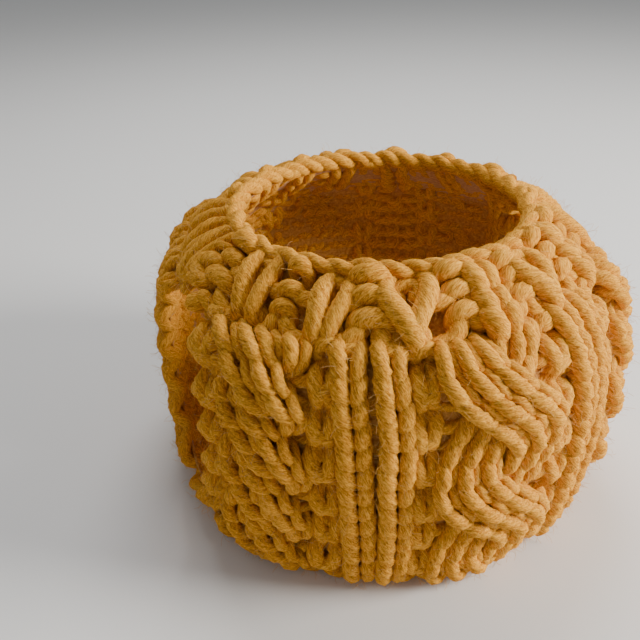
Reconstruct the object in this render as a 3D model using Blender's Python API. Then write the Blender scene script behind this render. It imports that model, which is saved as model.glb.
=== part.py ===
"""A tea cosy knitted in thick mustard yarn, as it stands when it is pulled over a round teapot.

Two panels are knitted flat, a front and a back, and seamed at the sides below and above the slits that
let the spout and the handle through. Units are metres, +Z is up. X runs from the spout side (-X) to the
handle side (+X), the front panel faces -Y, and the origin is the centre of the hem on the table.
"""

import math

import bmesh
import bpy
import numpy as np

MM = 0.001
DEG = math.pi / 180

THICKNESS = 8.4 * MM  # of the plain cloth, front legs of the stitches to the bars behind them
SEAM_GAP = 0.3 * MM  # between the two panels where they are seamed
EDGE_ROUNDING = 3.0 * MM  # over this distance the cloth thins towards its free edges
EDGE_THINNING = 0.42  # part of the half thickness lost at a free edge
HEM_BLEND = 9.0 * MM  # over this height the hem turns to stand square on the table
TOP_EDGE_WAVE = 1.1 * MM  # the bound-off edge rises and falls by this much
BODY_WAVE = 0.9 * MM  # the hand-knitted body swells in and out by this much

TANGENT_STEP = 1.0 * MM  # the slope of the cloth is read over this distance each way

COLUMNS = 50  # faces across a panel
ROWS = 22  # faces up a panel

# The middle of the cloth from the hem up to the bound-off edge, as it hugs the pot.
MERIDIAN_COLUMNS = ("height_mm", "radius_mm")
MERIDIAN = (
    (0.0, 66.0),
    (4.0, 70.0),
    (11.0, 73.2),
    (25.0, 75.2),
    (41.0, 76.6),
    (58.5, 76.3),
    (74.5, 73.2),
    (85.0, 65.6),
    (92.0, 56.2),
    (97.5, 48.0),
)

# The bands of the chart, from the panel's left edge to its right edge, seen from outside, as wide as they are
# round the belly. The strands of a cable cross once in every crossing_mm up the cloth, one of the times at
# middle_mm from the hem.
BAND_COLUMNS = ("kind", "width_deg", "crown_mm", "crossing_mm", "middle_mm")
BANDS = (
    ("edge", 7.1, 0.2, 0.0, 0.0),
    ("gutter", 4.0, -1.5, 0.0, 0.0),
    ("cable", 18.5, 2.4, 20.5, 80.0),
    ("gutter", 6.5, -1.5, 0.0, 0.0),
    ("rib", 14.5, 1.2, 0.0, 0.0),
    ("gutter", 6.5, -1.5, 0.0, 0.0),
    ("cable", 26.0, 2.8, 34.0, 70.0),
    ("gutter", 7.0, -1.5, 0.0, 0.0),
    ("rib", 15.0, 1.2, 0.0, 0.0),
    ("gutter", 6.0, -1.5, 0.0, 0.0),
    ("cable", 20.0, 2.4, 20.5, 80.0),
    ("gutter", 9.0, -1.5, 0.0, 0.0),
    ("edge", 12.6, 0.2, 0.0, 0.0),
)
ROPE_SWELL = 1.0 * MM  # how far the crossing strands of a cable swell above its crown
NECK_START = 91.0 * MM  # above this the bands run out into the gathered neck
NECK_BLEND = 8.0 * MM

# The slits in the side seams: where each starts and ends, and how far the cloth draws back from its middle.
SLIT_COLUMNS = ("low_mm", "high_mm", "draw_back_mm")
SLITS = {
    "spout": (13.0, 84.0, 21.0),
    "handle": (22.0, 87.0, 15.0),
}
SLIT_FULLNESS = 0.5  # below 1 the slit opens quickly from its ends
BELLY_SIDES = {"spout": 74.1 * DEG, "handle": 78.6 * DEG}  # from the panel's middle to its sides at the belly
SIDE_PULL = 0.33  # over this part of its width the cloth is pulled aside to the seams


def smooth_line(points, per_span=24):
    """Points along a Catmull-Rom curve through the given ones."""
    padded = [2 * points[0] - points[1], *points, 2 * points[-1] - points[-2]]
    line = []
    for a, b, c, d in zip(padded, padded[1:], padded[2:], padded[3:]):
        for t in np.linspace(0, 1, per_span, endpoint=False):
            cubic = 3 * (b - c) + d - a
            square = 2 * a - 5 * b + 4 * c - d
            line.append(b + 0.5 * t * (c - a + t * (square + t * cubic)))
    line.append(points[-1])
    return np.array(line)


class Meridian:
    """The curve from hem to bound-off edge, read by the distance along it."""

    def __init__(self):
        line = smooth_line([np.array((radius, height)) * MM for height, radius in MERIDIAN])
        steps = np.linalg.norm(np.diff(line, axis=0), axis=1)
        self.along = np.concatenate([[0.0], np.cumsum(steps)])
        self.line = line
        self.length = self.along[-1]

    def point(self, distance):
        radius = np.interp(distance, self.along, self.line[:, 0])
        height = np.interp(distance, self.along, self.line[:, 1])
        beyond = max(0.0, distance - self.length)
        over = (self.line[-1] - self.line[-2]) / (self.along[-1] - self.along[-2])
        return radius + beyond * over[0], height + beyond * over[1]

    def outward(self, distance):
        """The direction out of the cloth, level at the hem so that the hem stands square."""
        ahead = self.point(distance + TANGENT_STEP)
        behind = self.point(max(distance - TANGENT_STEP, 0.0))
        run, rise = ahead[0] - behind[0], ahead[1] - behind[1]
        turned = min(1.0, distance / HEM_BLEND)
        out = np.array((rise, -run * turned * turned))
        return out / np.linalg.norm(out)


def slit_draw_back(height, slit):
    """How far the panel's side edge stands back from the seam line at this height."""
    low, high, draw_back = (value * MM for value in SLITS[slit])
    part = (height - low) / (high - low)
    if not 0.0 < part < 1.0:
        return 0.0
    return draw_back * math.sin(math.pi * part) ** SLIT_FULLNESS


def side_pull(across):
    """1 at the side of the panel where across is 0, fading to 0 inside it."""
    return max(0.0, 1 - across / SIDE_PULL) ** 2


def angle_round(across, radius, height, left_slit, right_slit):
    """The bands keep to their meridians, and only the panel's sides follow the seams and the slits."""
    left, right = (
        math.pi / 2 - (SEAM_GAP / 2 + slit_draw_back(height, slit)) / radius for slit in (left_slit, right_slit)
    )
    belly_left, belly_right = BELLY_SIDES[left_slit], BELLY_SIDES[right_slit]
    angle = across * (belly_left + belly_right) - belly_left
    return angle - (left - belly_left) * side_pull(across) + (right - belly_right) * side_pull(1 - across)


def band_layout():
    """Each band as (kind, start, end, crown, crossing, middle), start and end as parts of the width."""
    whole = sum(band[1] for band in BANDS)
    layout, start = [], 0.0
    for kind, width, *heights in BANDS:
        end = start + width / whole
        layout.append((kind, start, end, *(height * MM for height in heights)))
        start = end
    return layout


def relief(across, distance, layout):
    """How far the bands stand above or below the plain cloth here."""
    raised = 0.0
    kept = 1 - min(1.0, max(0.0, (distance - NECK_START) / NECK_BLEND))
    for kind, start, end, crown, crossing, middle in layout:
        width = end - start
        place = (across - start) / width - 0.5
        softness = 0.18 * min(1.0, 0.06 / width)
        inside = (math.tanh((place + 0.5) / softness) - math.tanh((place - 0.5) / softness)) / 2
        height = crown
        if kind == "cable":
            height = crown * math.sqrt(max(0.0, 1 - (1.7 * place) ** 2))
            height += ROPE_SWELL * math.cos(2 * math.pi * ((distance - middle) / crossing + place))
        raised += inside * height
    return raised * kept


def free_edge_thinning(across, distance, width, length):
    """1 in the body of the cloth, less towards its sides and its bound-off edge."""
    to_edge = min(across * width, (1 - across) * width, length - distance)
    near = max(0.0, 1 - to_edge / EDGE_ROUNDING)
    return 1 - EDGE_THINNING * near * near


def panel_points(meridian, layout, left_slit, right_slit, side):
    """Rows of points on one face of the panel: side is 1 for the outside, -1 for the inside."""
    rows = []
    for row in range(ROWS + 1):
        points = []
        for column in range(COLUMNS + 1):
            across = column / COLUMNS
            wave = TOP_EDGE_WAVE * math.sin(5 * math.pi * across + 0.7) * (row / ROWS) ** 3
            distance = meridian.length * row / ROWS + wave
            radius, height = meridian.point(distance)
            angle = angle_round(across, radius, height, left_slit, right_slit)
            out = meridian.outward(distance)
            thinning = free_edge_thinning(across, distance, radius * math.pi, meridian.length + wave)
            offset = side * THICKNESS / 2 * thinning
            offset += BODY_WAVE * math.sin(3 * angle + 1.1) * math.sin(math.pi * row / ROWS)
            if side > 0:
                offset += relief(across, distance, layout) * thinning * min(1.0, 0.5 + row / 4)
            radius += offset * out[0]
            height += offset * out[1]
            points.append((radius * math.sin(angle), -radius * math.cos(angle), height))
        rows.append(points)
    return rows


def grid_faces(mesh, grid, flipped):
    for lower, upper in zip(grid, grid[1:]):
        for a, b, c, d in zip(lower, lower[1:], upper[1:], upper):
            mesh.faces.new((d, c, b, a) if flipped else (a, b, c, d))


def knitted_material(name, color):
    material = bpy.data.materials.new(name)
    material.use_nodes = True
    shader = material.node_tree.nodes["Principled BSDF"]
    shader.inputs["Base Color"].default_value = (*color, 1.0)
    shader.inputs["Roughness"].default_value = 0.95
    shader.inputs["Metallic"].default_value = 0.0
    shader.inputs["Sheen Weight"].default_value = 0.4
    return material


def knitted_panel(name, color, slits, turn):
    """One panel as a closed solid: an outer and an inner face joined round their edges."""
    meridian, layout = Meridian(), band_layout()
    mesh = bmesh.new()
    outside, inside = (
        [[mesh.verts.new(point) for point in row] for row in panel_points(meridian, layout, *slits, side)]
        for side in (1, -1)
    )
    grid_faces(mesh, outside, flipped=False)
    grid_faces(mesh, inside, flipped=True)
    for outer, inner in zip(border(outside), border(inside)):
        mesh.faces.new((outer[0], inner[0], inner[1], outer[1]))
    bmesh.ops.recalc_face_normals(mesh, faces=mesh.faces)
    data = bpy.data.meshes.new(name)
    mesh.to_mesh(data)
    mesh.free()
    data.shade_smooth()
    data.set_sharp_from_angle(angle=50 * DEG)
    data.materials.append(knitted_material(name + "_yarn", color))
    panel = bpy.data.objects.new(name, data)
    panel.rotation_euler = (0, 0, turn)
    bpy.context.scene.collection.objects.link(panel)
    return panel


def border(grid):
    """The edge pairs round a grid of vertices, in one direction."""
    loop = list(grid[0])
    loop += [row[-1] for row in grid[1:]]
    loop += list(reversed(grid[-1][:-1]))
    loop += [row[0] for row in reversed(grid[1:-1])]
    return list(zip(loop, loop[1:] + loop[:1]))


def clear_scene():
    for item in list(bpy.data.objects):
        bpy.data.objects.remove(item, do_unlink=True)


def main():
    clear_scene()
    knitted_panel("front_panel", (0.631, 0.254, 0.029), ("spout", "handle"), 0.0)
    knitted_panel("back_panel", (0.591, 0.235, 0.027), ("handle", "spout"), math.pi)


main()
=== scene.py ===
"""The looks of a hand-knitted tea cosy: every stitch of its two panels as one thick plied yarn.

The yarn is worked out stitch by stitch on the same cloth surface as the solids, and Geometry Nodes spin it:
they sweep a plied profile along the yarn's path and grow the fluff on it. Units are metres, +Z is up.
"""

import math
from collections import namedtuple

import bpy
import numpy as np
from mathutils import Matrix, Vector


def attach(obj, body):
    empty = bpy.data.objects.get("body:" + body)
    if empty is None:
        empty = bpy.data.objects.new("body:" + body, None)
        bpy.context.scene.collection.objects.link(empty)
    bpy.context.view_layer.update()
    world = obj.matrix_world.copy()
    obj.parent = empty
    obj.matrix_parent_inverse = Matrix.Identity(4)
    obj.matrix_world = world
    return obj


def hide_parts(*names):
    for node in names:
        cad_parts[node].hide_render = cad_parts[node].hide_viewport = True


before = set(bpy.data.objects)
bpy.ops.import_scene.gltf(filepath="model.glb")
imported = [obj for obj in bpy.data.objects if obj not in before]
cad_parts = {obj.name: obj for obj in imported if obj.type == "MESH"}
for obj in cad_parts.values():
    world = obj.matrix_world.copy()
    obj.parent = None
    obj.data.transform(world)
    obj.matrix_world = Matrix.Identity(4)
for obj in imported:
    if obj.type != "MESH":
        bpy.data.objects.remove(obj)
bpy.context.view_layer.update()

MM = 0.001
DEG = math.pi / 180

# --- The cloth surface: as in the solids, but drawn in a little by the yarn at the hem and the neck --------

SEAM_GAP = 0.3 * MM
HEM_BLEND = 9.0 * MM  # over this height the hem turns to stand square on the table
BODY_WAVE = 0.9 * MM  # the hand-knitted body swells in and out by this much
BODY_WAVES = 3  # this many times in a full turn
BODY_WAVE_START = 1.1  # the wave's phase at the panel's middle
TANGENT_STEP = 1.0 * MM
# The middle of the cloth from the hem up to the neck. Columns: height_mm, radius_mm.
MERIDIAN = (
    (0.0, 65.6),
    (4.0, 69.7),
    (11.0, 73.1),
    (25.0, 75.2),
    (41.0, 76.6),
    (58.5, 76.3),
    (74.5, 73.2),
    (85.0, 65.6),
    (91.8, 57.2),
    (97.0, 51.2),
    (100.2, 48.6),
)
# Where each slit starts and ends, and how far the cloth draws back. Columns: low_mm, high_mm, draw_back_mm.
SLITS = {
    "spout": (13.0, 84.0, 21.0),
    "handle": (22.0, 87.0, 15.0),
}
SLIT_FULLNESS = 0.5  # below 1 a slit opens quickly from its ends
# From the panel's middle to its sides at the belly.
BELLY_SIDES = {"spout": 74.1 * DEG, "handle": 78.6 * DEG}
SIDE_PULL = 0.33  # over this part of its width the cloth is pulled aside to the seams

# --- The chart --------------------------------------------------------------------------------------------

# Bands of the body from the panel's left edge to its right edge, seen from outside: how wide each is round
# the belly, how many stitches it has, how far its stitches stand out, and where the strands of a cable
# cross. The yarn turns back at the sides, in a band without stitches. Moss and garter stitches change face
# every course. Columns: kind, width_deg, stitches, raised_mm, crossings_mm.
SIDE_CROSSINGS = (20.0, 41.0, 62.0, 79.0)
BODY_BANDS = (
    ("turn", 3.1, 0, 0.0, ()),
    ("garter", 4.5, 1, 0.2, ()),
    ("purl", 3.5, 1, -0.9, ()),
    ("cable", 18.5, 4, 1.6, SIDE_CROSSINGS),
    ("moss", 7.0, 1, -0.6, ()),
    ("knit", 14.8, 2, 1.0, ()),
    ("moss", 6.0, 1, -0.6, ()),
    ("cable", 25.7, 6, 1.6, (38.0, 73.0)),
    ("moss", 6.5, 1, -0.6, ()),
    ("knit", 15.0, 2, 1.0, ()),
    ("moss", 6.5, 1, -0.6, ()),
    ("cable", 19.0, 4, 1.6, SIDE_CROSSINGS),
    ("purl", 4.5, 1, -0.9, ()),
    ("knit", 10.0, 2, 0.8, ()),
    ("garter", 4.8, 1, 0.2, ()),
    ("turn", 3.3, 0, 0.0, ()),
)
# The neck is gathered in to fewer stitches, mostly knit and purl by turns. Many of its knit stitches were
# slipped, so that one tall loop stands over all the courses: straight, or spread at its top as an open one.
NECK_BANDS = (
    ("turn", 1.0, 0, 0.0, ()),
    ("purl", 10.2, 1, -0.4, ()),
    ("tall", 9.2, 1, 1.0, ()),
    ("purl", 6.2, 1, -0.4, ()),
    ("tall", 9.0, 1, 1.0, ()),
    ("purl", 12.5, 1, -0.2, ()),
    ("open", 12.0, 1, 1.2, ()),
    ("purl", 10.0, 1, -0.4, ()),
    ("knit", 10.0, 1, 0.8, ()),
    ("purl", 8.5, 1, -0.4, ()),
    ("open", 11.0, 1, 1.0, ()),
    ("purl", 9.0, 1, -0.4, ()),
    ("knit", 9.5, 1, 0.8, ()),
    ("purl", 9.0, 1, -0.4, ()),
    ("tall", 9.5, 1, 1.0, ()),
    ("purl", 3.1, 1, -0.4, ()),
    ("tall", 6.0, 1, 1.0, ()),
    ("tall", 6.0, 1, 1.0, ()),
    ("turn", 1.0, 0, 0.0, ()),
)
TALL_REACH = 2.0  # from the middle of a slipped stitch to its head, in course heights
# The courses that one piece holds: how far up the middle of course 0 lies, how high each course is, the
# yarn's radius, and how many points its path has for each stitch.
Part = namedtuple("Part", "name bands first_mm height_mm courses yarn_mm points")
PARTS = (
    Part("lower", BODY_BANDS, 9.0, 6.35, range(0, 7), 2.3, 20),
    Part("upper", BODY_BANDS, 9.0, 6.35, range(7, 13), 2.3, 20),
    Part("neck", NECK_BANDS, 92.6, 6.6, range(0, 3), 2.55, 36),
)

# --- The stitch -------------------------------------------------------------------------------------------

# How a loop's head widens, in stitch widths.
LOOP_SPREAD = {"open": 0.38, "tall": 0.20, "knit": 0.15, "cable": 0.15}
PLAIN_SPREAD = 0.19  # the same for the other stitches
LOOP_REACH = {1: 0.98, -1: 0.80}  # from the middle of a stitch to its head, in course heights, by its face
LOOP_DEPTH = 0.92  # from the middle of the cloth to the yarn's centre, front and back, in yarn radii
LOOP_FLATNESS = 0.8  # a loop's legs lie flat on the front and its ends dive steeply
LEG_LIFT = 0.12  # a knit loop's left leg lies over its right one, in yarn radii
LEG_FULLNESS = 0.07  # and it is this much fuller
CORD_LEG_LIFT = 0.36  # the same in a cable
CORD_LEG_FULLNESS = 0.17
LEG_SWELL = 0.16  # the yarn swells at the front of a loop, where nothing presses on it
LAST_COURSE = 12  # the last of the body, whose ribs reach up under the neck
LAST_REACH = {"knit": 1.5}  # how many times as far as usual they reach
JOIN_START = 0.66  # the part of a half stitch after which it leans towards its neighbour
STRAND_DEPTH = 2.7 * MM  # a cable's front strand lies this far out and its back strand this far in
STRAND_CROWN = 0.9 * MM  # the middle of a strand stands above its sides
FLOAT_DEPTH = -0.45  # how far back a float lies, in loop depths
FLOAT_REACH_SPREAD = (0.42, 0.12)  # how far it reaches up, in course heights, and widens, in stitch widths
STRAND_SWING = 0.29  # a strand's middle swings this far to each side, in band widths
STRAND_SIDE = 0.25  # where it is taken to be when the stitches of a course are put in order
LINGER = {4: 0.5, 6: -0.28}  # by the cable's stitches: how much slower a strand crosses in front
CORD_ROOM = 4.4 * MM  # sideways room for half a stitch in a strand that leans across the other
FULL_WIDTH = 10.0 * MM  # a stitch this wide shows the yarn at its full radius
THINNING = 0.22  # how quickly narrower stitches draw the yarn thin
CORD_THINNING = 0.45  # the same in a cable, where the yarn is drawn tight
FULLEST = 1.12  # the most that a wide stitch lets the yarn swell, in yarn radii
HEM_CALM = 22.0 * MM  # the relief of the bands grows to its full depth over this height
LEAST_RELIEF = 0.2  # the part of it that there is at the hem itself
SELVEDGE_TURN = 0.014  # how far the yarn swings out where it turns back, as a part of the panel's width
SELVEDGE_LIFT = 0.8 * MM  # and how far it stands out there
TURN_POINTS = 7
WANDER = {"tall": 0.28, "open": 0.2}  # how far a column of stitches strays, in widths
PLAIN_WANDER = 0.1  # the same for the other stitches
WANDER_REACH = 17 * MM  # how far up one radian of its sideways wave goes
RIB_LEAN = 0.012  # how far a rib leans to the left over the shoulder, as a part of the panel's width
RIB_LEAN_FROM_TO = (60.0 * MM, 92.0 * MM)
BACK_FOLLOWS = 0.25  # the part of a raised front by which the back of the stitch follows it
UNEVEN = 0.06  # how unevenly the stitches are worked, as a part of their size
LOOSE_UNEVEN = 0.11  # the same for purl and moss stitches and for the gathered neck
UNEVEN_LEAN = 2  # how many times as unevenly a stitch leans
UNEVEN_YARN = 0.5  # and how many times as unevenly its yarn is spun
PLY_PITCH = 17.0 * MM  # one full turn of the plies round the yarn
PLIES = 6
GROOVE = 0.915  # from the yarn's centre to the bottom of the grooves between its plies, in yarn radii

# --- The panels, their edges and the sheet inside ----------------------------------------------------------

FRONT, BACK = "front", "back"
Panel = namedtuple("Panel", "name left_slit right_slit turn seed")
PANELS = (
    Panel(FRONT, "spout", "handle", 0.0, 11),
    Panel(BACK, "handle", "spout", math.pi, 23),
)
ABOVE_TABLE = 1.04  # the lowest that the yarn's centre lies, in yarn radii

# The cast-on and the bound-off edge, each a rope of two strands along the panel: where it runs, how far its
# strands swing out and up as they turn about each other, and how long one turn is.
Edging = namedtuple("Edging", "distance_mm offset_mm swing_mm up_mm turn_length_mm")
EDGINGS = (
    Edging(4.0, 0.3, 1.5, 1.3, 15.0),
    Edging(112.6, -1.0, 1.3, 1.1, 16.0),
)
EDGING_RADIUS = 2.1 * MM
EDGING_TURN_POINTS = 14
EDGING_UNEVEN = 0.7  # how far a turn strays along the edge, in radians
EDGING_DRIFT_MM = 0.5  # and up or down
EDGING_SWELL = 0.08  # how much the strands swell and thin, as a part of their radius
EDGING_SWELLS, EDGING_SWELL_TURNS = 3, 7  # they swell this many times in this many turns

SEAM_RADIUS = 1.5 * MM
SEAM_PITCH_MM = 6.5
SEAM_TURN_POINTS = 16
SEAM_DEPTH = 3.3 * MM  # how far its stitches go in and out of the cloth
SEAM_BITE = 3.4 * MM  # how far they reach into each panel
SEAM_FROM_TO_MM = (3.0, 109.0)
SEAM_PAST_SLIT_MM = (1.0, 7.0)  # where it ends above a slit's lower end and starts above its upper end

GROUND_COLUMNS = 60
GROUND_ROWS = 40
GROUND_FROM_TO = (2.0 * MM, 111.0 * MM)
GROUND_DEPTH = (0.7 * MM, 2.0 * MM)  # behind the middle of the cloth, in the body and in the neck
GROUND_SINKS_FROM_TO = (84 * MM, 92 * MM)  # the distances up between which its depth changes
GROUND_THICKNESS = 0.6 * MM
GROUND_INSET = (0.001, 0.036)  # beside a seam and beside an open slit, as parts of the panel's width
OPEN_SLIT = 4.0 * MM  # a slit that draws back this far is fully open
OPENS_EARLY = 2.0 * MM  # the inset grows this far before a slit starts


def smooth_line(points, per_span=24):
    """Points along a Catmull-Rom curve through the given ones."""
    padded = [2 * points[0] - points[1], *points, 2 * points[-1] - points[-2]]
    line = []
    for a, b, c, d in zip(padded, padded[1:], padded[2:], padded[3:]):
        for t in np.linspace(0, 1, per_span, endpoint=False):
            cubic = 3 * (b - c) + d - a
            square = 2 * a - 5 * b + 4 * c - d
            line.append(b + 0.5 * t * (c - a + t * (square + t * cubic)))
    line.append(points[-1])
    return np.array(line)


class Cloth:
    """The middle surface of the knitting. A place on it is a distance up from the hem and a part across."""

    def __init__(self):
        self.line = smooth_line([np.array((radius, height)) * MM for height, radius in MERIDIAN])
        steps = np.linalg.norm(np.diff(self.line, axis=0), axis=1)
        self.along = np.concatenate([[0.0], np.cumsum(steps)])
        self.length = self.along[-1]
        self.last = (self.line[-1] - self.line[-2]) / steps[-1]

    def profile(self, distance):
        """Radius and height at these distances, going straight on past the neck."""
        beyond = np.maximum(0.0, distance - self.length)
        radius = np.interp(distance, self.along, self.line[:, 0]) + beyond * self.last[0]
        height = np.interp(distance, self.along, self.line[:, 1]) + beyond * self.last[1]
        return radius, height

    def outward(self, distance):
        """Radial and upright parts of the direction out of the cloth."""
        ahead = self.profile(distance + TANGENT_STEP)
        behind = self.profile(np.maximum(distance - TANGENT_STEP, 0.0))
        turned = np.clip(distance / HEM_BLEND, 0, 1)
        out = np.array((ahead[1] - behind[1], (behind[0] - ahead[0]) * turned * turned))
        return out / np.linalg.norm(out, axis=0)

    def angle(self, across, radius, height, panel):
        """The bands keep to their meridians, and only the panel's sides follow the seams and the slits."""
        belly_left, belly_right = BELLY_SIDES[panel.left_slit], BELLY_SIDES[panel.right_slit]
        left = math.pi / 2 - (SEAM_GAP / 2 + slit_draw_back(height, panel.left_slit)) / radius
        right = math.pi / 2 - (SEAM_GAP / 2 + slit_draw_back(height, panel.right_slit)) / radius
        angle = across * (belly_left + belly_right) - belly_left
        angle -= (left - belly_left) * side_pull(across)
        return angle + (right - belly_right) * side_pull(1 - across)

    def points(self, across, distance, offset, panel):
        """World points of places on this panel, offset out from the middle of the cloth."""
        radius, height = self.profile(distance)
        angle = self.angle(across, radius, height, panel)
        share = np.sin(math.pi * np.clip(distance / self.length, 0, 1))
        wave = BODY_WAVE * np.sin(BODY_WAVES * angle + BODY_WAVE_START) * share
        out = self.outward(distance)
        radius = radius + (offset + wave) * out[0]
        height = height + (offset + wave) * out[1]
        angle = angle + panel.turn
        return np.stack((radius * np.sin(angle), -radius * np.cos(angle), height), axis=-1)


def slit_draw_back(height, slit):
    """How far the panel's side edge stands back from the seam line at this height."""
    low, high, draw_back = (value * MM for value in SLITS[slit])
    part = np.clip((height - low) / (high - low), 0, 1)
    return draw_back * np.sin(math.pi * part) ** SLIT_FULLNESS


def side_pull(across):
    """1 at the side of the panel where across is 0, fading to 0 inside it."""
    return np.maximum(1 - across / SIDE_PULL, 0) ** 2


# --- From the chart to columns of stitches -----------------------------------------------------------------


class Wale:
    """One column of stitches: where it runs, how wide it is and how far it stands out."""

    def __init__(self, kind, middle, width, band_width, place, strand, raised, crossings, swell):
        self.kind = kind
        self.middle = middle  # of its band, as a part of the panel's width
        self.width = width
        self.band_width = band_width
        self.place = place  # in its band, or in its strand of a cable, from -0.5 to 0.5
        self.strand = strand  # -1 or 1 for the two strands of a cable, 0 elsewhere
        self.raised = raised
        self.crossings = crossings
        self.swell = swell  # how much a cable's strand widens where it lies in front
        self.linger = LINGER.get(round(band_width / width), 0.0)
        self.wander = 0.0

    def phase(self, distance):
        """Half a turn for each crossing of the cable."""
        turns = np.arange(len(self.crossings)) * math.pi + math.pi / 2
        first, last = self.crossings[0], self.crossings[-1]
        step = (last - first) / (len(self.crossings) - 1)
        knots = (first - step, *self.crossings, last + step)
        phase = np.interp(distance, knots, (turns[0] - math.pi, *turns, turns[-1] + math.pi))
        return phase + self.strand * self.linger * np.cos(phase)

    def across(self, distance):
        """The wale's middle as a part of the panel's width."""
        stray = WANDER.get(self.kind, PLAIN_WANDER) * self.width
        wobble = stray * np.sin(distance / WANDER_REACH + self.wander)
        if not self.strand:
            return self.middle + self.place * self.band_width + wobble - self.lean(distance)
        swing = self.strand * STRAND_SWING * np.cos(self.phase(distance)) * self.band_width
        return self.middle + swing + self.place * self.band_width / 2 * self.fullness(distance) + wobble

    def lean(self, distance):
        """How far the wale leans to the left here. Only the ribs do."""
        if self.kind != "knit":
            return 0.0 * distance
        low, high = RIB_LEAN_FROM_TO
        part = np.clip((distance - low) / (high - low), 0, 1)
        return RIB_LEAN * part * part * (3 - 2 * part)

    def fullness(self, distance):
        """How many times its usual width a stitch takes up here."""
        if not self.strand:
            return 1.0 + 0.0 * distance
        return 1 + self.swell * np.maximum(0.0, self.strand * np.sin(self.phase(distance)))

    def offset(self, distance):
        """How far the front of the stitches stands out. Their backs follow by a part of it."""
        calm = np.clip(distance / HEM_CALM, LEAST_RELIEF, 1)
        if not self.strand:
            return self.raised * calm
        crown = STRAND_CROWN * (1 - (2 * self.place) ** 2)
        return calm * (self.raised + crown + self.strand * STRAND_DEPTH * np.sin(self.phase(distance)))

    def order(self, distance):
        """What the wales of a course are sorted by: whole strands of a cable stay together."""
        if not self.strand:
            return self.middle + self.place * self.band_width
        side = self.strand * (1 if math.cos(self.phase(distance)) > 0 else -1)
        return self.middle + (side * STRAND_SIDE + self.place / 2) * self.band_width

    def face(self, course):
        """1 for a knit stitch, -1 for a purl one and 0 for yarn that floats behind, from outside."""
        if self.kind in ("tall", "open"):
            return 1 if course == 1 else 0
        if self.kind in ("garter", "moss"):
            return 1 if course % 2 else -1
        return -1 if self.kind == "purl" else 1


def wales_of_chart(bands, panel_width, random):
    """The columns of stitches of all these bands, from left to right."""
    whole = sum(band[1] for band in bands)
    wales, start = [], 0.0
    for kind, width_deg, stitches, raised, crossings in bands:
        band_width = width_deg / whole
        middle = start + band_width / 2
        start += band_width
        width = band_width / max(1, stitches)
        crossings = tuple(distance * MM for distance in crossings)
        for number in range(stitches):
            strand, place = 0, (number + 0.5) / stitches - 0.5
            if crossings:
                half = stitches // 2
                strand, place = (-1 if number < half else 1), (number % half + 0.5) / half - 0.5
            swell = max(0.0, 2 * CORD_ROOM / (width * panel_width) - 1)
            wale = Wale(kind, middle, width, band_width, place, strand, raised * MM, crossings, swell)
            wale.wander = random.uniform(0, 2 * math.pi)
            wales.append(wale)
    return wales


# --- From columns of stitches to the yarn's path -----------------------------------------------------------

Stitch = namedtuple("Stitch", "wale height level lean size face radius reach")


def worked_course(wales, part, course, panel_width, random):
    """The stitches of one course from left to right, each a little different."""
    course_height = part.height_mm * MM
    middle = part.first_mm * MM + course * course_height
    stitches = []
    for wale in sorted(wales, key=lambda wale: wale.order(middle)):
        uneven = LOOSE_UNEVEN if wale.kind in ("moss", "purl") or part.name == "neck" else UNEVEN
        height, level, lean, size = uneven * random.uniform(-1, 1, 4)
        thinning = CORD_THINNING if wale.strand else THINNING
        drawn = min(FULLEST, (wale.width * panel_width / FULL_WIDTH) ** thinning)
        face = wale.face(course)
        reach = TALL_REACH if wale.kind in ("tall", "open") else LOOP_REACH[face]
        if part.bands is BODY_BANDS and course == LAST_COURSE:
            reach *= LAST_REACH.get(wale.kind, 1.0)
        stitch = Stitch(
            wale,
            course_height * (1 + height),
            middle + course_height * level,
            UNEVEN_LEAN * lean,
            1 + size,
            face,
            part.yarn_mm * MM * drawn * (1 + UNEVEN_YARN * size),
            reach,
        )
        stitches.append(stitch)
    return stitches


def loop_path(stitch, turn):
    """Across, distance, offset and radius along one stitch's loop, for turn from -pi to pi."""
    wale = stitch.wale
    reach, spread = stitch.reach, LOOP_SPREAD.get(wale.kind, PLAIN_SPREAD)
    if not stitch.face:
        reach, spread = FLOAT_REACH_SPREAD
    sideways = turn / (2 * math.pi) + spread * np.sin(2 * turn)
    upward = reach * np.cos(turn)
    distance = stitch.level + stitch.height * (upward + stitch.lean * sideways)
    across = wale.across(distance) + sideways * wale.width * stitch.size * wale.fullness(distance)
    flat = np.tanh(LOOP_FLATNESS * np.cos(2 * turn)) / math.tanh(LOOP_FLATNESS)
    swing = -stitch.face * flat if stitch.face else FLOAT_DEPTH + 0.0 * turn
    followed = BACK_FOLLOWS + (1 - BACK_FOLLOWS) * (1 + swing) / 2
    left_leg = -np.sin(turn) if stitch.face > 0 else 0.0 * turn
    lift = CORD_LEG_LIFT if wale.strand else LEG_LIFT
    fullness = CORD_LEG_FULLNESS if wale.strand else LEG_FULLNESS
    offset = wale.offset(distance) * followed + (LOOP_DEPTH * swing + lift * left_leg) * stitch.radius
    radius = stitch.radius * (1 + fullness * left_leg + LEG_SWELL * swing)
    return np.stack((across, distance, offset, radius))


def course_path(stitches, points):
    """The yarn's path through one course, as across, distance, offset and radius."""
    turn = np.linspace(-math.pi, math.pi, points, endpoint=False) + math.pi / points
    parts = []
    for number, stitch in enumerate(stitches):
        path = loop_path(stitch, turn)
        for side, neighbour in ((-1, number - 1), (1, number + 1)):
            if not 0 <= neighbour < len(stitches):
                continue
            beyond = loop_path(stitches[neighbour], turn - side * 2 * math.pi)
            near = np.clip((side * turn / math.pi - JOIN_START) / (1 - JOIN_START), 0, 1)
            share = 0.5 * near * near * (3 - 2 * near)
            path = path * (1 - share) + beyond * share
        parts.append(path)
    return np.hstack(parts)


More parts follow.
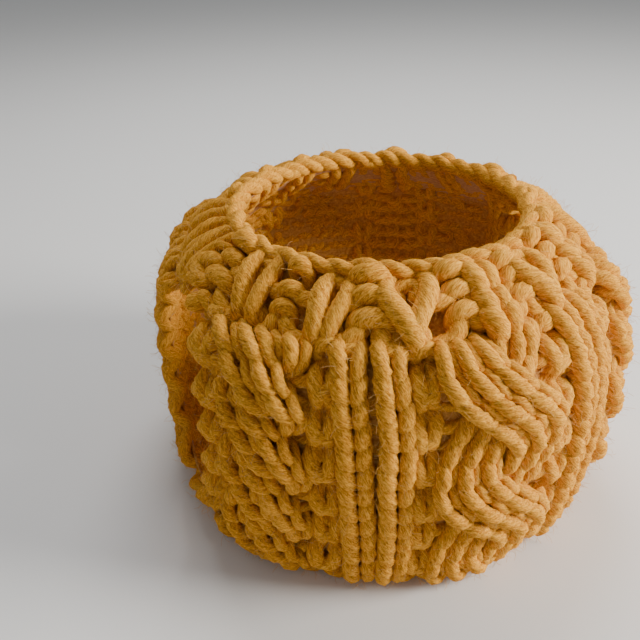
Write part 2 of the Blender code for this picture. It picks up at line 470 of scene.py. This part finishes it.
def selvedge(last, start, side):
    """The yarn's turn at the side of the panel, from the end of one course to the start of the next."""
    part = np.linspace(0, 1, TURN_POINTS + 2)[1:-1]
    path = last[:, None] * (1 - part) + start[:, None] * part
    path[0] += side * SELVEDGE_TURN * np.sin(math.pi * part)
    path[2] += SELVEDGE_LIFT * np.sin(math.pi * part)
    return path


def knitted_path(part, panel_width, random):
    """One unbroken yarn through the courses of this part, which are worked to and fro."""
    wales = wales_of_chart(part.bands, panel_width, random)
    rows = []
    for course in part.courses:
        row = course_path(worked_course(wales, part, course, panel_width, random), part.points)
        side = 1 if course % 2 else -1
        if side > 0:
            row = row[:, ::-1]
        if rows:
            rows.append(selvedge(rows[-1][:, -1], row[:, 0], side))
        rows.append(row)
    return np.hstack(rows)


# --- Making meshes -----------------------------------------------------------------------------------------

FLUFF_FACING = 0.25  # fluff grows where the yarn faces out this much, as the cosine to straight out
HAIR_LEAN = 0.9  # the most that a hair leans either way, in radians
HAIR_SIZES = (0.45, 1.3)  # the shortest and the longest hair, in usual hair lengths


def link(name, data):
    """A new object with this data, in the scene."""
    item = bpy.data.objects.new(name, data)
    bpy.context.scene.collection.objects.link(item)
    return item


def thread_object(name, threads):
    """A mesh of bare edges, one chain for each thread, with the yarn's radius at each point."""
    points, radii, edges = [], [], []
    for thread_points, thread_radii in threads:
        first = sum(len(done) for done in points)
        points.append(thread_points)
        radii.append(thread_radii)
        edges += [(first + i, first + i + 1) for i in range(len(thread_points) - 1)]
    data = bpy.data.meshes.new(name)
    data.from_pydata(np.concatenate(points).tolist(), edges, [])
    radius = data.attributes.new("yarn_radius", "FLOAT", "POINT")
    radius.data.foreach_set("value", np.concatenate(radii).astype(np.float32))
    return link(name, data)


def add_node(tree, kind, settings=None, **inputs):
    """A node with its settings and inputs. An input is given by its name, with _ for a space, or by i and
    its number, and takes a value or another node's socket."""
    node = tree.nodes.new(kind)
    for name, value in (settings or {}).items():
        setattr(node, name, value)
    for name, value in inputs.items():
        key = int(name[1:]) if name[0] == "i" and name[1:].isdigit() else name.replace("_", " ")
        socket = node.inputs[key]
        if isinstance(value, bpy.types.NodeSocket):
            tree.links.new(value, socket)
        else:
            socket.default_value = value
    return node


def new_tree(name, inputs):
    """A geometry node tree with a geometry in and out and these named inputs: name, type and value."""
    tree = bpy.data.node_groups.new(name, "GeometryNodeTree")
    tree.interface.new_socket("Geometry", in_out="INPUT", socket_type="NodeSocketGeometry")
    for label, kind, value in inputs:
        socket = tree.interface.new_socket(label, in_out="INPUT", socket_type="NodeSocket" + kind)
        if value is not None:
            socket.default_value = value
    tree.interface.new_socket("Geometry", in_out="OUTPUT", socket_type="NodeSocketGeometry")
    return tree


def grown(source, tree, name, **values):
    """The plain mesh that a node tree makes of the source, as a new object. The source is removed."""
    modifier = source.modifiers.new("grow", "NODES")
    modifier.node_group = tree
    for item in tree.interface.items_tree:
        if item.in_out == "INPUT" and item.name.replace(" ", "_") in values:
            modifier[item.identifier] = values[item.name.replace(" ", "_")]
    bpy.context.view_layer.update()
    evaluated = source.evaluated_get(bpy.context.evaluated_depsgraph_get())
    data = bpy.data.meshes.new_from_object(evaluated)
    data.name = name
    old = source.data
    bpy.data.objects.remove(source)
    bpy.data.meshes.remove(old)
    return link(name, data)


def spinning_tree():
    """Sweeps a plied yarn along each chain of edges. The plies turn with the length of the yarn."""
    tree = new_tree(
        "spin yarn",
        (
            ("Plies", "Int", PLIES),
            ("Ply pitch", "Float", PLY_PITCH),
            ("Groove", "Float", GROOVE),
            ("Material", "Material", None),
        ),
    )
    given = tree.nodes.new("NodeGroupInput").outputs
    radius = add_node(tree, "GeometryNodeInputNamedAttribute", {"data_type": "FLOAT"}, Name="yarn_radius")
    curve = add_node(tree, "GeometryNodeMeshToCurve", Mesh=given["Geometry"])
    length = add_node(tree, "GeometryNodeSplineParameter").outputs["Length"]
    turns = add_node(tree, "ShaderNodeMath", {"operation": "DIVIDE"}, i0=length, i1=given["Ply pitch"])
    tilt = add_node(tree, "ShaderNodeMath", {"operation": "MULTIPLY"}, i0=turns.outputs[0], i1=-2 * math.pi)
    curve = add_node(tree, "GeometryNodeSetCurveTilt", Curve=curve.outputs["Curve"], Tilt=tilt.outputs[0])
    curve = add_node(
        tree,
        "GeometryNodeStoreNamedAttribute",
        {"data_type": "FLOAT", "domain": "POINT"},
        Geometry=curve.outputs["Curve"],
        Name="yarn_length",
        Value=length,
    )
    star = add_node(
        tree,
        "GeometryNodeCurveStar",
        Points=given["Plies"],
        Inner_Radius=given["Groove"],
        Outer_Radius=1.0,
        Twist=0.0,
    )
    place = add_node(tree, "GeometryNodeInputPosition")
    star = add_node(
        tree,
        "GeometryNodeStoreNamedAttribute",
        {"data_type": "FLOAT_VECTOR", "domain": "POINT"},
        Geometry=star.outputs["Curve"],
        Name="ply_place",
        Value=place.outputs["Position"],
    )
    swept = add_node(
        tree,
        "GeometryNodeCurveToMesh",
        Curve=curve.outputs["Geometry"],
        Profile_Curve=star.outputs["Geometry"],
        Scale=radius.outputs["Attribute"],
        Fill_Caps=True,
    )
    smooth = add_node(tree, "GeometryNodeSetShadeSmooth", Geometry=swept.outputs["Mesh"], Shade_Smooth=True)
    whole = add_node(tree, "GeometryNodeRealizeInstances", Geometry=smooth.outputs["Geometry"])
    painted = add_node(
        tree, "GeometryNodeSetMaterial", Geometry=whole.outputs["Geometry"], Material=given["Material"]
    )
    add_node(tree, "NodeGroupOutput", Geometry=painted.outputs["Geometry"])
    return tree


def fluffing_tree():
    """Grows loose fibre ends on the outward faces: short bent hairs, closed and three-sided."""
    tree = new_tree(
        "grow fluff",
        (
            ("Hairs per square metre", "Float", 108000.0),
            ("Hair length", "Float", 3.4 * MM),
            ("Hair radius", "Float", 0.036 * MM),
            ("Seed", "Int", 5),
            ("Material", "Material", None),
        ),
    )
    given = tree.nodes.new("NodeGroupInput").outputs
    place = add_node(tree, "GeometryNodeInputPosition").outputs["Position"]
    normal = add_node(tree, "GeometryNodeInputNormal").outputs["Normal"]
    flat = add_node(tree, "ShaderNodeVectorMath", {"operation": "MULTIPLY"}, i0=place, i1=(1.0, 1.0, 0.0))
    out = add_node(tree, "ShaderNodeVectorMath", {"operation": "NORMALIZE"}, i0=flat.outputs["Vector"])
    facing = add_node(
        tree, "ShaderNodeVectorMath", {"operation": "DOT_PRODUCT"}, i0=normal, i1=out.outputs["Vector"]
    )
    outside = add_node(
        tree, "ShaderNodeMath", {"operation": "GREATER_THAN"}, i0=facing.outputs["Value"], i1=FLUFF_FACING
    )
    points = add_node(
        tree,
        "GeometryNodeDistributePointsOnFaces",
        {"distribute_method": "RANDOM"},
        Mesh=given["Geometry"],
        Selection=outside.outputs[0],
        Density=given["Hairs per square metre"],
        Seed=given["Seed"],
    )
    bend = add_node(
        tree,
        "GeometryNodeCurveQuadraticBezier",
        Resolution=2,
        Start=(0.0, 0.0, -0.1),
        Middle=(0.05, 0.0, 0.55),
        End=(0.65, 0.1, 0.75),
    )
    edge = add_node(tree, "GeometryNodeCurvePrimitiveCircle", {"mode": "RADIUS"}, Resolution=3, Radius=1.0)
    thin = add_node(
        tree,
        "ShaderNodeMath",
        {"operation": "DIVIDE"},
        i0=given["Hair radius"],
        i1=given["Hair length"],
    )
    hair = add_node(
        tree,
        "GeometryNodeCurveToMesh",
        Curve=bend.outputs["Curve"],
        Profile_Curve=edge.outputs["Curve"],
        Scale=thin.outputs[0],
        Fill_Caps=True,
    )
    lean = add_node(tree, "FunctionNodeRandomValue", {"data_type": "FLOAT_VECTOR"}, Seed=given["Seed"])
    lean.inputs[0].default_value = (-HAIR_LEAN, -HAIR_LEAN, 0.0)
    lean.inputs[1].default_value = (HAIR_LEAN, HAIR_LEAN, 2 * math.pi)
    turned = add_node(tree, "FunctionNodeEulerToRotation", Euler=lean.outputs[0])
    rotation = add_node(
        tree,
        "FunctionNodeRotateRotation",
        {"rotation_space": "LOCAL"},
        Rotation=points.outputs["Rotation"],
        Rotate_By=turned.outputs[0],
    )
    size = add_node(tree, "FunctionNodeRandomValue", {"data_type": "FLOAT"}, Seed=given["Seed"])
    size.inputs[2].default_value, size.inputs[3].default_value = HAIR_SIZES
    length = add_node(
        tree, "ShaderNodeMath", {"operation": "MULTIPLY"}, i0=size.outputs[1], i1=given["Hair length"]
    )
    hairs = add_node(
        tree,
        "GeometryNodeInstanceOnPoints",
        Points=points.outputs["Points"],
        Instance=hair.outputs["Mesh"],
        Rotation=rotation.outputs[0],
        Scale=length.outputs[0],
    )
    whole = add_node(tree, "GeometryNodeRealizeInstances", Geometry=hairs.outputs["Instances"])
    place = add_node(tree, "ShaderNodeSeparateXYZ", Vector=place)
    height = add_node(tree, "ShaderNodeMath", {"operation": "MAXIMUM"}, i0=place.outputs["Z"], i1=0.1 * MM)
    place = add_node(
        tree, "ShaderNodeCombineXYZ", X=place.outputs["X"], Y=place.outputs["Y"], Z=height.outputs[0]
    )
    whole = add_node(
        tree,
        "GeometryNodeSetPosition",
        Geometry=whole.outputs["Geometry"],
        Position=place.outputs["Vector"],
    )
    painted = add_node(
        tree, "GeometryNodeSetMaterial", Geometry=whole.outputs["Geometry"], Material=given["Material"]
    )
    add_node(tree, "NodeGroupOutput", Geometry=painted.outputs["Geometry"])
    return tree


# --- Materials ---------------------------------------------------------------------------------------------

# Real wool fibres are about 0.03 mm thick, too fine to show, so the streaks and flecks are coarser. Their
# scales count in yarn radii across the yarn and in metres times FIBRE_SHORTENING along it.
FIBRE_SHORTENING = 150.0
STREAK_SCALE = 7.0  # streaks about 0.3 mm wide and 1 mm long
GLINT_FLECK_SCALE = 13.0  # painted glints: pale flecks about 0.2 mm wide and 0.5 mm long, where single fibres catch the light
PATCH_SCALE = 42.0  # lighter and darker patches about 24 mm across
FELT_SCALE = 900.0  # matted tufts about 1 mm across, coarser than real ones so that they show
PLAIN_SHADE = -0.87  # how light the yarn is on the ramp before its patterns add to this


def linear(hex_color):
    """The linear colour of an sRGB hex value, with alpha 1."""
    channels = [int(hex_color[i : i + 2], 16) / 255 for i in (1, 3, 5)]
    return (*((c / 12.92 if c <= 0.04045 else ((c + 0.055) / 1.055) ** 2.4) for c in channels), 1.0)


def new_material(name):
    """An empty material and its node tree."""
    material = bpy.data.materials.new(name)
    material.use_nodes = True
    material.node_tree.nodes.clear()
    return material, material.node_tree


def plied_wool(name, dark, middle, light):
    """Chunky wool-mix yarn, spun soft and plied: matt fibres, with a painted highlight on each ply's crest
    and pale painted glints of single fibres.
    """
    material, tree = new_material(name)
    place = add_node(tree, "ShaderNodeAttribute", {"attribute_name": "ply_place"}).outputs["Vector"]
    length = add_node(tree, "ShaderNodeAttribute", {"attribute_name": "yarn_length"}).outputs["Fac"]
    along = add_node(tree, "ShaderNodeMath", {"operation": "MULTIPLY"}, i0=length, i1=FIBRE_SHORTENING)
    apart = add_node(tree, "ShaderNodeSeparateXYZ", Vector=place)
    fibre = add_node(
        tree,
        "ShaderNodeCombineXYZ",
        X=apart.outputs["X"],
        Y=apart.outputs["Y"],
        Z=along.outputs[0],
    )
    streaks = add_node(
        tree,
        "ShaderNodeTexNoise",
        Vector=fibre.outputs[0],
        Scale=STREAK_SCALE,
        Detail=4.0,
        Roughness=0.75,
    )
    # Painted glints of single fibres: pale flecks that lighten the yarn.
    glint_flecks = add_node(
        tree,
        "ShaderNodeTexNoise",
        Vector=fibre.outputs[0],
        Scale=GLINT_FLECK_SCALE,
        Detail=1.0,
        Roughness=0.5,
    )
    glint_flecks = add_node(
        tree,
        "ShaderNodeMapRange",
        Value=glint_flecks.outputs["Fac"],
        From_Min=0.56,
        From_Max=0.72,
        To_Min=0.0,
        To_Max=0.6,
    )
    # Painted highlight: the crest of each ply is painted lighter than the grooves between the plies.
    crest_highlight = add_node(tree, "ShaderNodeVectorMath", {"operation": "LENGTH"}, i0=place)
    crest_highlight = add_node(
        tree,
        "ShaderNodeMapRange",
        Value=crest_highlight.outputs["Value"],
        From_Min=GROOVE,
        From_Max=1.0,
        To_Min=0.0,
        To_Max=1.0,
    )
    body = add_node(tree, "ShaderNodeTexCoord").outputs["Object"]
    patches = add_node(
        tree, "ShaderNodeTexNoise", Vector=body, Scale=PATCH_SCALE, Detail=2.0, Roughness=0.5
    )
    shade = PLAIN_SHADE
    for lightness, amount in (
        (streaks.outputs["Fac"], 2.3),
        (crest_highlight.outputs["Result"], 0.17),
        (patches.outputs["Fac"], 0.3),
        (glint_flecks.outputs["Result"], 1.0),
    ):
        added = add_node(
            tree, "ShaderNodeMath", {"operation": "MULTIPLY_ADD"}, i0=lightness, i1=amount, i2=shade
        )
        shade = added.outputs[0]
    ramp = add_node(tree, "ShaderNodeValToRGB", Fac=shade)
    stops = ramp.color_ramp.elements
    stops[0].position, stops[0].color = 0.15, linear(dark)
    stops[1].position, stops[1].color = 0.9, linear(light)
    stops.new(0.5).color = linear(middle)
    bump = add_node(tree, "ShaderNodeBump", Strength=0.7, Distance=0.4 * MM, Height=streaks.outputs["Fac"])
    shader = add_node(
        tree,
        "ShaderNodeBsdfPrincipled",
        Base_Color=ramp.outputs["Color"],
        Roughness=0.92,
        Normal=bump.outputs["Normal"],
        Subsurface_Weight=0.15,
        Subsurface_Radius=(1.0, 0.6, 0.25),
        Subsurface_Scale=1.6 * MM,
        Sheen_Weight=0.3,
        Sheen_Roughness=0.5,
        Sheen_Tint=linear("#F2A838"),
        Specular_IOR_Level=0.15,
        IOR=1.45,
    )
    add_node(tree, "ShaderNodeOutputMaterial", Surface=shader.outputs[0])
    return material


def inside_painted_shade(name, deep, raised):
    """The inside of the knitting, painted shade: a sheet coloured like wool out of the light, mottled in
    random matted tufts.
    """
    material, tree = new_material(name)
    body = add_node(tree, "ShaderNodeTexCoord").outputs["Object"]
    mat = add_node(tree, "ShaderNodeTexNoise", Vector=body, Scale=FELT_SCALE, Detail=3.0, Roughness=0.65)
    # Both colours are the wool as it looks in shade: painted shade, mottled at random.
    ramp = add_node(tree, "ShaderNodeValToRGB", Fac=mat.outputs["Fac"])
    stops = ramp.color_ramp.elements
    stops[0].position, stops[0].color = 0.35, linear(deep)
    stops[1].position, stops[1].color = 0.7, linear(raised)
    bump = add_node(tree, "ShaderNodeBump", Strength=0.8, Distance=0.5 * MM, Height=mat.outputs["Fac"])
    shader = add_node(
        tree,
        "ShaderNodeBsdfPrincipled",
        Base_Color=ramp.outputs["Color"],
        Roughness=0.98,
        Normal=bump.outputs["Normal"],
        Sheen_Weight=0.2,
        IOR=1.45,
    )
    add_node(tree, "ShaderNodeOutputMaterial", Surface=shader.outputs[0])
    return material


def loose_fibre(name, color):
    """Single fibres that have worked loose from the yarn and stand off it."""
    material, tree = new_material(name)
    shader = add_node(
        tree,
        "ShaderNodeBsdfPrincipled",
        Base_Color=linear(color),
        Roughness=0.7,
        Sheen_Weight=0.2,
        IOR=1.45,
    )
    add_node(tree, "ShaderNodeOutputMaterial", Surface=shader.outputs[0])
    return material


# --- The studio --------------------------------------------------------------------------------------------

CAMERA_PLACE = (-0.1182, -0.2031, 0.1925)
CAMERA_HEADING = 25.0 * DEG  # clockwise from +Y, seen from above
CAMERA_PITCH = 30.37 * DEG  # below the horizon
CAMERA_ROLL = -1.59 * DEG
CAMERA_LENS_MM = 42.17
FLOOR_REACH = 4.0
FLOOR_COLOR = "#DEDCD8"
ROOM_COLOR = "#E9EDF2"
ROOM_STRENGTH = 0.38
Light = namedtuple("Light", "name place size power color")
LIGHTS = (
    Light("key", (0.60, -0.46, 0.35), 0.34, 13.2, (1.0, 0.98, 0.94)),
    Light("fill", (-0.6, -0.5, 0.35), 0.6, 0.25, (1.0, 0.97, 0.92)),
    Light("sky", (0.15, 0.35, 0.75), 0.5, 4.5, (0.98, 0.98, 1.0)),
)
LIT_PLACE = Vector((0, 0, 0.05))


def place_camera():
    """The camera stands before the spout's side of the front and looks down on the cosy."""
    data = bpy.data.cameras.new("camera")
    data.lens = CAMERA_LENS_MM
    data.sensor_width = 36.0
    data.clip_start = 0.01
    data.clip_end = 20.0
    camera = link("camera", data)
    turn = Matrix.Rotation(-CAMERA_HEADING, 4, "Z") @ Matrix.Rotation(math.pi / 2 - CAMERA_PITCH, 4, "X")
    camera.matrix_world = Matrix.Translation(CAMERA_PLACE) @ turn @ Matrix.Rotation(CAMERA_ROLL, 4, "Z")
    bpy.context.scene.camera = camera


def soft_box(light):
    """A round soft light that faces the middle of the cosy."""
    data = bpy.data.lights.new(light.name, "AREA")
    data.shape = "DISK"
    data.size = light.size
    data.energy = light.power
    data.color = light.color
    lamp = link(light.name, data)
    lamp.location = light.place
    toward = LIT_PLACE - lamp.location
    lamp.rotation_euler = toward.to_track_quat("-Z", "Y").to_euler()


def matt_floor(name):
    """A plain pale floor, painted matt."""
    material, tree = new_material(name)
    shader = add_node(tree, "ShaderNodeBsdfPrincipled", Base_Color=linear(FLOOR_COLOR), Roughness=0.75)
    add_node(tree, "ShaderNodeOutputMaterial", Surface=shader.outputs[0])
    return material


def build_studio():
    """The floor, the even light of a pale room, the soft lights and the camera."""
    data = bpy.data.meshes.new("floor")
    corners = [(x * FLOOR_REACH, y * FLOOR_REACH, 0) for x, y in ((-1, -1), (1, -1), (1, 1), (-1, 1))]
    data.from_pydata(corners, [], [(0, 1, 2, 3)])
    data.materials.append(matt_floor("matt_pale_floor"))
    floor = link("floor", data)
    world = bpy.data.worlds.new("studio")
    world.use_nodes = True
    background = world.node_tree.nodes["Background"]
    background.inputs["Color"].default_value = linear(ROOM_COLOR)
    background.inputs["Strength"].default_value = ROOM_STRENGTH
    bpy.context.scene.world = world
    for light in LIGHTS:
        soft_box(light)
    place_camera()


# --- Putting it together -----------------------------------------------------------------------------------

cloth = Cloth()


def yarn_thread(path, panel):
    """The path's points in space and its radii. The lowest loops rest on the table."""
    points = cloth.points(path[0], path[1], path[2], panel)
    points[:, 2] = np.maximum(points[:, 2], ABOVE_TABLE * path[3])
    return points, path[3]


def sheet_inset(height, slit):
    """How far the sheet stops short of the panel's side: enough to stay hidden where a slit is open."""
    below = slit_draw_back(height - OPENS_EARLY, slit)
    above = slit_draw_back(height + OPENS_EARLY, slit)
    return np.interp(np.maximum(below, above), (0.0, OPEN_SLIT), GROUND_INSET)


def ground_sheet(name, panel, material):
    """The thin sheet in the middle of the cloth that all the stitches are worked round."""
    columns, rows = GROUND_COLUMNS, GROUND_ROWS
    part, distance = np.meshgrid(np.linspace(0, 1, columns), np.linspace(*GROUND_FROM_TO, rows))
    height = cloth.profile(distance)[1]
    left, right = sheet_inset(height, panel.left_slit), sheet_inset(height, panel.right_slit)
    across = left + part * (1 - left - right)
    faces, points = [], []
    deep = np.interp(distance.ravel(), GROUND_SINKS_FROM_TO, GROUND_DEPTH)
    for side, thickness in enumerate((0.0, GROUND_THICKNESS)):
        points.append(cloth.points(across.ravel(), distance.ravel(), -deep - thickness, panel))
        for row in range(rows - 1):
            for column in range(columns - 1):
                first = side * rows * columns + row * columns + column
                face = (first, first + 1, first + columns + 1, first + columns)
                faces.append(face if side == 0 else face[::-1])
    grid = np.arange(rows * columns).reshape(rows, columns)
    loop = [*grid[0], *grid[1:, -1], *grid[-1, -2::-1], *grid[-2:0:-1, 0]]
    for a, b in zip(loop, loop[1:] + loop[:1]):
        faces.append((int(a), int(a + rows * columns), int(b + rows * columns), int(b)))
    data = bpy.data.meshes.new(name)
    data.from_pydata(np.concatenate(points).tolist(), [], faces)
    data.shade_smooth()
    data.materials.append(material)
    return link(name, data)


def edging_path(edging, strand, random):
    """One of the two strands of an edging along the panel, as across, distance, offset and radius."""
    radius, _ = cloth.profile(np.array(edging.distance_mm * MM))
    turns = round(math.pi * radius / (edging.turn_length_mm * MM))
    part = np.linspace(0.0, 1.0, turns * EDGING_TURN_POINTS)
    knots = np.linspace(0.0, 1.0, turns + 1)
    uneven = np.interp(part, knots, random.uniform(-EDGING_UNEVEN, EDGING_UNEVEN, turns + 1))
    drift = np.interp(part, knots, random.uniform(-EDGING_DRIFT_MM, EDGING_DRIFT_MM, turns + 1))
    angle = 2 * math.pi * (turns * part + strand / 2) + uneven
    return np.stack(
        (
            part,
            (edging.distance_mm + drift + edging.up_mm * np.cos(angle)) * MM,
            (edging.offset_mm + edging.swing_mm * np.sin(angle)) * MM,
            EDGING_RADIUS * (1 + EDGING_SWELL * np.sin(EDGING_SWELLS * angle / EDGING_SWELL_TURNS)),
        )
    )


def seam_thread(side, low_mm, high_mm):
    """The yarn that whips the two panels together along one closed part of a seam."""
    turns = (high_mm - low_mm) / SEAM_PITCH_MM
    angle = np.linspace(0, 2 * math.pi * turns, round(turns * SEAM_TURN_POINTS))
    distance = (low_mm + SEAM_PITCH_MM * angle / (2 * math.pi)) * MM
    radius, height = cloth.profile(distance)
    out = cloth.outward(distance)
    offset = SEAM_DEPTH * np.sin(angle)
    radius = radius + offset * out[0]
    height = np.maximum(height + offset * out[1], ABOVE_TABLE * SEAM_RADIUS)
    points = np.stack((side * radius, SEAM_BITE * np.cos(angle), height), axis=-1)
    return points, np.full(angle.size, SEAM_RADIUS)


def edge_threads(panel, random):
    """The threads of this panel's edges. The front panel also carries the seams."""
    threads = []
    for strand in (0, 1):
        for edging in EDGINGS:
            threads.append(yarn_thread(edging_path(edging, strand, random), panel))
    if panel.name == FRONT:
        for slit, side in (("spout", -1), ("handle", 1)):
            low, high, _ = SLITS[slit]
            threads.append(seam_thread(side, SEAM_FROM_TO_MM[0], low + SEAM_PAST_SLIT_MM[0]))
            threads.append(seam_thread(side, high + SEAM_PAST_SLIT_MM[1], SEAM_FROM_TO_MM[1]))
    return threads


def joined_copy(pieces, name):
    """One mesh with the faces of all these pieces, for growing the fluff on."""
    points, faces, first = [], [], 0
    for piece in pieces:
        data = piece.data
        places = np.empty(len(data.vertices) * 3, np.float32)
        data.vertices.foreach_get("co", places)
        points.append(places.reshape(-1, 3))
        quads = [tuple(polygon.vertices) for polygon in data.polygons if len(polygon.vertices) == 4]
        faces.append(np.array(quads) + first)
        first += len(data.vertices)
    points = np.concatenate(points)
    faces = np.concatenate(faces)
    data = bpy.data.meshes.new(name)
    data.vertices.add(len(points))
    data.vertices.foreach_set("co", points.ravel())
    data.loops.add(faces.size)
    data.loops.foreach_set("vertex_index", faces.ravel().astype(np.int32))
    data.polygons.add(len(faces))
    data.polygons.foreach_set("loop_start", np.arange(0, faces.size, 4, dtype=np.int32))
    data.update()
    return link(name, data)


def fluff_of(pieces, tree, name, material):
    """The loose fibres on these pieces of yarn."""
    source = joined_copy(pieces, f"{name}_source")
    return grown(source, tree, name, Material=material)


def knit_panel(panel, tree, yarn, inside_shade_material, fluff_tree, fluff):
    """One panel: its sheet, the courses worked round it, its edges and its loose fibres."""
    random = np.random.default_rng(panel.seed)
    belly_radius = max(radius for _, radius in MERIDIAN) * MM
    panel_width = (BELLY_SIDES["spout"] + BELLY_SIDES["handle"]) * belly_radius
    pieces = []
    for part in PARTS:
        path = knitted_path(part, panel_width, random)
        threads = thread_object(f"{panel.name}_{part.name}_threads", [yarn_thread(path, panel)])
        pieces.append(grown(threads, tree, f"{panel.name}_{part.name}_courses", Material=yarn))
    threads = thread_object(f"{panel.name}_edging_threads", edge_threads(panel, random))
    pieces.append(grown(threads, tree, f"{panel.name}_edges", Material=yarn))
    pieces.append(fluff_of(pieces, fluff_tree, f"{panel.name}_fluff", fluff))
    sheet = ground_sheet(f"{panel.name}_ground", panel, inside_shade_material)
    for piece in (sheet, *pieces):
        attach(piece, "root")
    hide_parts(f"{panel.name}_panel")


def main():
    """Knits both panels and lights them."""
    tree = spinning_tree()
    fluff_tree = fluffing_tree()
    yarn = plied_wool("plied_mustard_wool", "#94581B", "#D38F28", "#F2B54A")
    # The sheet inside is painted darker than the yarn's middle: painted shade for the holes between the
    # stitches.
    inside_shade_material = inside_painted_shade("felted_wool_inside", "#A46624", "#D29A48")
    fluff = loose_fibre("loose_mustard_fibre", "#D29F4A")
    for panel in PANELS:
        knit_panel(panel, tree, yarn, inside_shade_material, fluff_tree, fluff)
    build_studio()


main()
